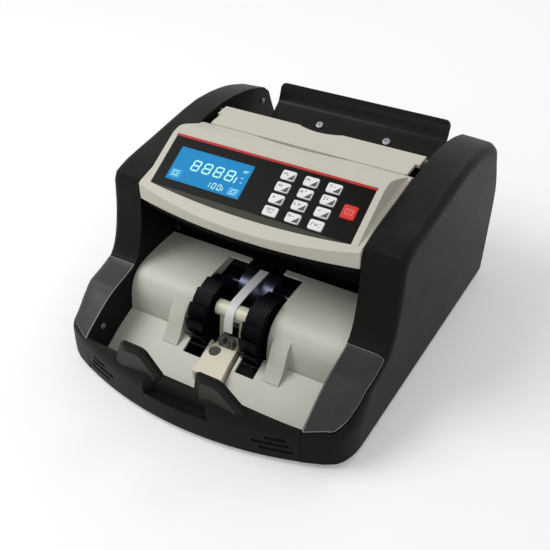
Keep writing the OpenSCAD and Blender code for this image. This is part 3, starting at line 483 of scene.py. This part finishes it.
filmGrey = newFinish("filmGrey", mouldSkin, "45463d", 0.34, filmShine, Grain_Scale=2600.0,
    Grain_Depth=0.03, Mottle=0.1, Dust=0.0)
bm = dressedCopy("panel_overlay", edgeWidths["panel_overlay"] * mm, segments=1)
cutAt = panelPlace @ (Vector((0, panelSpec["blackEnd"], 0)) * mm)
downSlope = (panelTurn.to_3x3() @ Vector((0, 1, 0))).normalized()
bmesh.ops.bisect_plane(bm, geom=bm.verts[:] + bm.edges[:] + bm.faces[:], plane_co=cutAt,
    plane_no=downSlope)
for face in bm.faces:
    face.material_index = 1 if (face.calc_center_median() - cutAt).dot(downSlope) > 0 else 0
overlay = linkPiece(bm, "panelFilm", "chassis", [finishes["overlay_film"], filmGrey])
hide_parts("panel_overlay")


glowRough = 0.12


def newGlow(name, colour, strength):  # lit display parts
    material = newFinish(name, mouldSkin, colour, glowRough, filmShine, Grain_Depth=0.0, Mottle=0.1,
        Dust=0.0)
    principled = material.node_tree.nodes["Principled BSDF"]
    principled.inputs["Emission Color"].default_value = hexColour(colour)
    principled.inputs["Emission Strength"].default_value = strength
    return material


displayBlue = newGlow("displayBlue", "0484c2", 0.12)
digitPale = newGlow("digitPale", "b4f2ee", 0.15)
patchPale = newGlow("patchPale", "36a0dc", 0.12)
bm = dressedCopy("lcd_window", edgeWidths["lcd_window"] * mm, segments=1)
window = linkPiece(bm, "displayWindow", "chassis", [displayBlue])
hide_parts("lcd_window")

# display prints, in panel axes
digitSpec = {"slant": 0.1, "thick": 1.35, "wide": 7.6, "high": 9.9, "firstX": -57.0, "pitch": 10.5,
    "topV": 17.0, "count": 4, "lift": 0.02, "deep": 0.06}
smallSpec = {"topV": 31.0, "high": 4.6, "thick": 0.8,
    "digits": ((-38.2, 0.1, "bc"), (-34.2, 2.6, "abcdef"), (-29.2, 2.6, "abcdef"))}
strokes = [(-19.6, 20.5, -20.4, 26.6, 1.2), (-26.2, 32.4, -26.6, 35.8, 0.8)]  # x, v, x, v, thickness
iconSpec = {"thick": 0.65, "deep": 0.04, "clip": 0.5, "bars": [  # as x, v, x, v
    (-16.9, 14.2, -12.4, 14.2), (-16.9, 15.4, -13.4, 15.4), (-16.6, 20.3, -15.2, 20.9),
    (-15.2, 20.9, -14.2, 20.2), (-15.6, 24.2, -14.2, 24.9), (-14.2, 24.9, -13.6, 24.0),
    (-19.8, 31.6, -13.4, 31.6), (-20.2, 33.6, -17.4, 33.6), (-15.8, 33.6, -13.6, 33.6),
    (-20.4, 35.4, -14.4, 35.4), (-74.6, 29.8, -68.2, 29.8), (-74.8, 31.8, -72.4, 31.8),
    (-70.8, 31.8, -68.0, 31.8), (-75.0, 33.8, -68.6, 33.8)],
    # as x, x, v, v
    "patches": [(-76, -66.4, 28.2, 36.0), (-21.6, -12.2, 30.2, 36.8)]}
digitBars = {  # a digit's seven bars, by their ends' shares of its width and height
    "a": ((-.5, 0), (.5, 0)), "b": ((.5, 0), (.5, .5)), "c": ((.5, .5), (.5, 1)), "d": ((-.5, 1), (.5, 1)),
    "e": ((-.5, .5), (-.5, 1)), "f": ((-.5, 0), (-.5, .5)), "g": ((-.5, .5), (.5, .5))}


def addBar(bm, start, end, thick, w):  # a flat bar with pointed ends between two panel points
    a, b = Vector((*start, w)), Vector((*end, w))
    along = (b - a).normalized()
    side = Vector((-along.y, along.x, 0)) * thick / 2
    tip = along * thick / 2
    ring = [bm.verts.new(p) for p in (a, a + tip + side, b - tip + side, b, b - tip - side, a + tip - side)]
    return bm.faces.new(ring)


def addDigit(bm, x, v, wide, high, thick, lit):
    def at(px, pv):
        return x + px * wide - digitSpec["slant"] * (pv * high), v + pv * high
    return [addBar(bm, *[at(*end) for end in digitBars[name]], thick, digitSpec["lift"]) for name in lit]


def addPrint(bm, flats, deep, material=0):  # thickens flat shapes, as ink on a face
    for face in flats:
        face.material_index = material
    back = bmesh.ops.extrude_face_region(bm, geom=flats)["geom"]
    bmesh.ops.translate(bm, vec=(0, 0, -deep), verts=[g for g in back if isinstance(g, bmesh.types.BMVert)])


def addPatch(bm, x0, x1, v0, v1, clip):  # a flat patch with clipped corners
    spots = [(x0 + clip, v0), (x1 - clip, v0), (x1, v0 + clip), (x1, v1 - clip), (x1 - clip, v1),
        (x0 + clip, v1), (x0, v1 - clip), (x0, v0 + clip)]
    return bm.faces.new([bm.verts.new((a, b, 0)) for a, b in spots])


bm = bmesh.new()
lit = []
for i in range(digitSpec["count"]):
    lit += addDigit(bm, digitSpec["firstX"] + i * digitSpec["pitch"], digitSpec["topV"],
        digitSpec["wide"] - digitSpec["thick"], digitSpec["high"] - digitSpec["thick"], digitSpec["thick"],
        "abcdefg")
for x, wide, shown in smallSpec["digits"]:
    lit += addDigit(bm, x, smallSpec["topV"], wide, smallSpec["high"], smallSpec["thick"], shown)
for x0, v0, x1, v1, thick in strokes + [(*bar, iconSpec["thick"]) for bar in iconSpec["bars"]]:
    lit.append(addBar(bm, (x0, v0), (x1, v1), thick, digitSpec["lift"]))
pale = [addPatch(bm, *spot, iconSpec["clip"]) for spot in iconSpec["patches"]]
addPrint(bm, lit, digitSpec["deep"])
addPrint(bm, pale, iconSpec["deep"], 1)
bmesh.ops.recalc_face_normals(bm, faces=bm.faces)
toPanel(bm)
digits = linkPiece(bm, "displayDigits", "chassis", [digitPale, patchPale])

# push keys: rounded caps with printed marks, each on its own guide flange
keySpec = {"columns": (19.5, 38.7, 57.7), "rows": (8, 18.5, 29, 39.7), "wide": 11.7, "high": 8.0,
    "proud": 1.0, "skirt": 3.5, "corner": 1.5, "cornerSegments": 5, "edge": 0.4, "edgeSegments": 3,
    "flangeGrow": 1.6, "flangeHigh": 1.1, "flangeAt": -4.05, "stemRadius": 2, "stemHigh": 1.0,
    "stemAt": -5.05, "stemSegments": 24, "inkThick": 0.5, "inkLift": 0.025, "inkDeep": 0.2}
startSpec = {"x": 76.4, "v": 22.7, "side": 11.3}
wedgeSpec = {"inset": 0.75, "wide": 5.3, "high": 5.4, "clip": 0.5, "lift": 0.03}  # printed corner of a key
noWedge = ("key_41", "key_43", "key_start")
keyMarks = {  # strokes from the key's centre: x, v, x, v
    "key_11": [(-4.2, -2.2, -3.2, 0.2), (-3.2, 0.2, -2.2, -2.2), (-1.4, -2.2, -1.4, 0.2),
        (-1.4, 0.2, 0.4, 0.2)],
    "key_12": [(-4.2, 0.2, -4.2, -2.2), (-4.2, -2.2, -3.0, -0.9), (-3.0, -0.9, -1.8, -2.2),
        (-1.8, -2.2, -1.8, 0.2)],
    "key_13": [(-4.0, -2.0, -1.8, -2.0), (-2.9, -2.0, -2.9, 0.2), (-0.9, -1.0, 0.7, -1.0)],
    "key_21": [(-4.2, 0.2, -3.2, -2.2), (-3.2, -2.2, -2.2, 0.2), (-1.4, -2.2, -1.4, 0.2),
        (-1.4, -1.0, 0.2, -1.0)],
    "key_22": [(-4.2, -2.2, -4.2, 0.2), (-4.2, -1.0, -2.6, -1.0), (-2.6, -2.2, -2.6, 0.2),
        (-1.2, -2.1, 0.6, -2.1)],
    "key_23": [(-4.2, -2.2, -2.4, -2.2), (-4.2, -1.0, -2.4, -1.0), (-4.2, 0.2, -2.4, 0.2),
        (-1.0, -2.2, -1.0, 0.2)],
    "key_31": [(-2.6, -2.2, -2.6, 0.2), (-3.8, -1.0, -1.4, -1.0)],
    "key_32": [(-4.2, -2.2, -4.2, 0.2), (-4.2, 0.2, -2.6, 0.2), (-1.4, -2.2, -0.2, 0.2),
        (-0.2, 0.2, 0.8, -2.2)],
    "key_33": [(-3.8, -1.0, -1.4, -1.0)],
    "key_41": [(-3.6, -1.9, 3.2, -1.9), (-3.6, -0.5, 0.4, -0.5), (1.6, -0.5, 3.2, -0.5),
        (-2.4, 1.1, 2.2, 1.1)],
    "key_42": [(-4.2, -2.2, -4.2, 0.2), (-4.2, -2.2, -2.6, -1.0), (-2.6, -2.2, -2.6, 0.2),
        (-1.2, -1.0, 0.4, -1.0)],
    "key_43": [(-3.6, -1.2, -3.6, 1.2), (-3.6, -1.2, -2.0, -1.2), (-0.8, -1.2, -0.8, 1.2),
        (-0.8, 0, 0.8, 0), (0.8, -1.2, 0.8, 1.2), (2.2, -1.2, 3.6, -1.2), (2.2, 1.2, 3.6, 1.2)],
    "key_start": [(-3.0, -2.0, 3.0, -2.0), (3.0, -2.0, 3.0, 2.0), (3.0, 2.0, -3.0, 2.0),
        (-3.0, 2.0, -3.0, -2.0), (-1.4, -0.2, 1.4, -0.2)],
}
keyInk = newFinish("keyInk", mouldSkin, "3c3c3e", 0.5, Grain_Depth=0.0, Mottle=0.1)
startInk = newFinish("startInk", mouldSkin, "f78a80", 0.45, Grain_Depth=0.0, Mottle=0.1)


def makeKey(node, x, v, wide, high, capFinish, inkFinish):
    top = keySpec["proud"]
    bm = bmesh.new()
    addBox(bm, (wide, high, top + keySpec["skirt"]), (0, 0, (top - keySpec["skirt"]) / 2))
    uprights = [e for e in bm.edges if abs(e.verts[0].co.z - e.verts[1].co.z) > top]
    roundEdges(bm, uprights, keySpec["corner"], keySpec["cornerSegments"])
    rim = [e for e in bm.edges if all(p.co.z > 0 for p in e.verts)]
    roundEdges(bm, rim, keySpec["edge"], keySpec["edgeSegments"])
    grow = keySpec["flangeGrow"]
    addBox(bm, (wide + grow, high + grow, keySpec["flangeHigh"]), (0, 0, keySpec["flangeAt"]))
    stem = bmesh.ops.create_cone(bm, cap_ends=True, segments=keySpec["stemSegments"],
        radius1=keySpec["stemRadius"], radius2=keySpec["stemRadius"], depth=keySpec["stemHigh"])["verts"]
    bmesh.ops.translate(bm, vec=(0, 0, keySpec["stemAt"]), verts=stem)
    ink = []
    if node not in noWedge:
        a, b, clip = wide / 2 - wedgeSpec["inset"], high / 2 - wedgeSpec["inset"], wedgeSpec["clip"]
        spots = [(a - wedgeSpec["wide"], b), (a, b - wedgeSpec["high"]), (a, b - clip), (a - clip, b)]
        ink.append(bm.faces.new([bm.verts.new((*spot, top + wedgeSpec["lift"])) for spot in spots]))
    for x0, v0, x1, v1 in keyMarks[node]:
        ink.append(addBar(bm, (x0, v0), (x1, v1), keySpec["inkThick"], top + keySpec["inkLift"]))
    addPrint(bm, ink, keySpec["inkDeep"], 1)
    bmesh.ops.recalc_face_normals(bm, faces=bm.faces)
    bmesh.ops.translate(bm, vec=(x, v, 0), verts=bm.verts)
    toPanel(bm)
    key = linkPiece(bm, node + "_cap", nodeBody[node], [capFinish, inkFinish])
    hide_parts(node)


for i, v in enumerate(keySpec["rows"]):
    for j, x in enumerate(keySpec["columns"]):
        makeKey("key_%d%d" % (i + 1, j + 1), x, v, keySpec["wide"], keySpec["high"],
            finishes["key_white"], keyInk)
makeKey("key_start", startSpec["x"], startSpec["v"], startSpec["side"], startSpec["side"],
    finishes["key_red"], startInk)
print("keys and display prints made")

# red bead along the panel's top edge
beadSpec = {"half": 88.5, "wide": 2.3, "high": 1.3, "v": -1.0, "sink": 0.35, "edge": 0.55, "segments": 3}
beadRed = newFinish("beadRed", mouldSkin, "b82a24", 0.34, redShine, Grain_Scale=2400.0, Grain_Depth=0.03,
    Mottle=0.12, Dust=0.0)
bm = bmesh.new()
addBox(bm, (2 * beadSpec["half"], beadSpec["wide"], beadSpec["high"]), (0, beadSpec["v"], -beadSpec["sink"]))
upper = [e for e in bm.edges if all(v.co.z > -beadSpec["sink"] for v in e.verts)]
roundEdges(bm, upper, beadSpec["edge"], beadSpec["segments"])
toPanel(bm)
bead = linkPiece(bm, "panelBead", "chassis", [beadRed])
print("panel, display and bead made")

# floor, world and lamps
def directRays(tree):  # one where the camera looks straight, by a reflection or through glass
    path = tree.nodes.new("ShaderNodeLightPath")
    seen = joinValues(tree, "MAXIMUM", path.outputs["Is Camera Ray"], path.outputs["Is Glossy Ray"])
    return joinValues(tree, "MAXIMUM", seen, path.outputs["Is Transmission Ray"])


floorSpec = {"size": 6.0, "tone": 0.92, "rough": 0.9, "shine": 0.1, "lift": 0.2}
bm = bmesh.new()
bmesh.ops.create_grid(bm, x_segments=1, y_segments=1, size=floorSpec["size"] / 2)
floorMesh = bpy.data.meshes.new("studioFloor")
bm.to_mesh(floorMesh)
bm.free()
floor = bpy.data.objects.new("studioFloor", floorMesh)
scene.collection.objects.link(floor)
floorPaint = bpy.data.materials.new("floorPaint")
floorPaint.use_nodes = True
paint = floorPaint.node_tree.nodes["Principled BSDF"]
paint.inputs["Base Color"].default_value = (*[floorSpec["tone"]] * 3, 1)
paint.inputs["Roughness"].default_value = floorSpec["rough"]
paint.inputs["Specular IOR Level"].default_value = floorSpec["shine"]
paint.inputs["Emission Color"].default_value = (1, 1, 1, 1)
lift = addNode(floorPaint.node_tree, "ShaderNodeMath", operation="MULTIPLY", in_1=floorSpec["lift"])
floorPaint.node_tree.links.new(directRays(floorPaint.node_tree), lift.inputs[0])
floorPaint.node_tree.links.new(lift.outputs[0], paint.inputs["Emission Strength"])
floorMesh.materials.append(floorPaint)

skySpec = {"cast": 0.42, "seen": 1.0}  # strength as light, and as the camera sees it
world = bpy.data.worlds.new("studioWorld")
scene.world = world
world.use_nodes = True
tree = world.node_tree
sky = tree.nodes["Background"]
sky.inputs["Color"].default_value = (1, 1, 1, 1)
strength = addNode(tree, "ShaderNodeMapRange", in_3=skySpec["cast"], in_4=skySpec["seen"])
tree.links.new(directRays(tree), strength.inputs[0])
tree.links.new(strength.outputs[0], sky.inputs["Strength"])

lamps = {  # place and size in m
    "keyLamp": {"place": (-1.0, -0.55, 1.35), "size": 1.2, "watts": 15.2},
    "fillLamp": {"place": (1.2, -0.9, 0.9), "size": 1.0, "watts": 1.8},
    "backLamp": {"place": (0.2, 1.3, 1.2), "size": 0.8, "watts": 4},
}
lampAim = Vector((0, 0, 0.08))
for name, spec in lamps.items():
    data = bpy.data.lights.new(name, "AREA")
    data.shape = "DISK"
    data.size = spec["size"]
    data.energy = spec["watts"]
    lamp = bpy.data.objects.new(name, data)
    scene.collection.objects.link(lamp)
    lamp.location = spec["place"]
    lamp.rotation_euler = (lampAim - Vector(spec["place"])).to_track_quat("-Z", "Y").to_euler()
scene.view_settings.view_transform = "Standard"
print("studio lit")

bpy.context.view_layer.update()
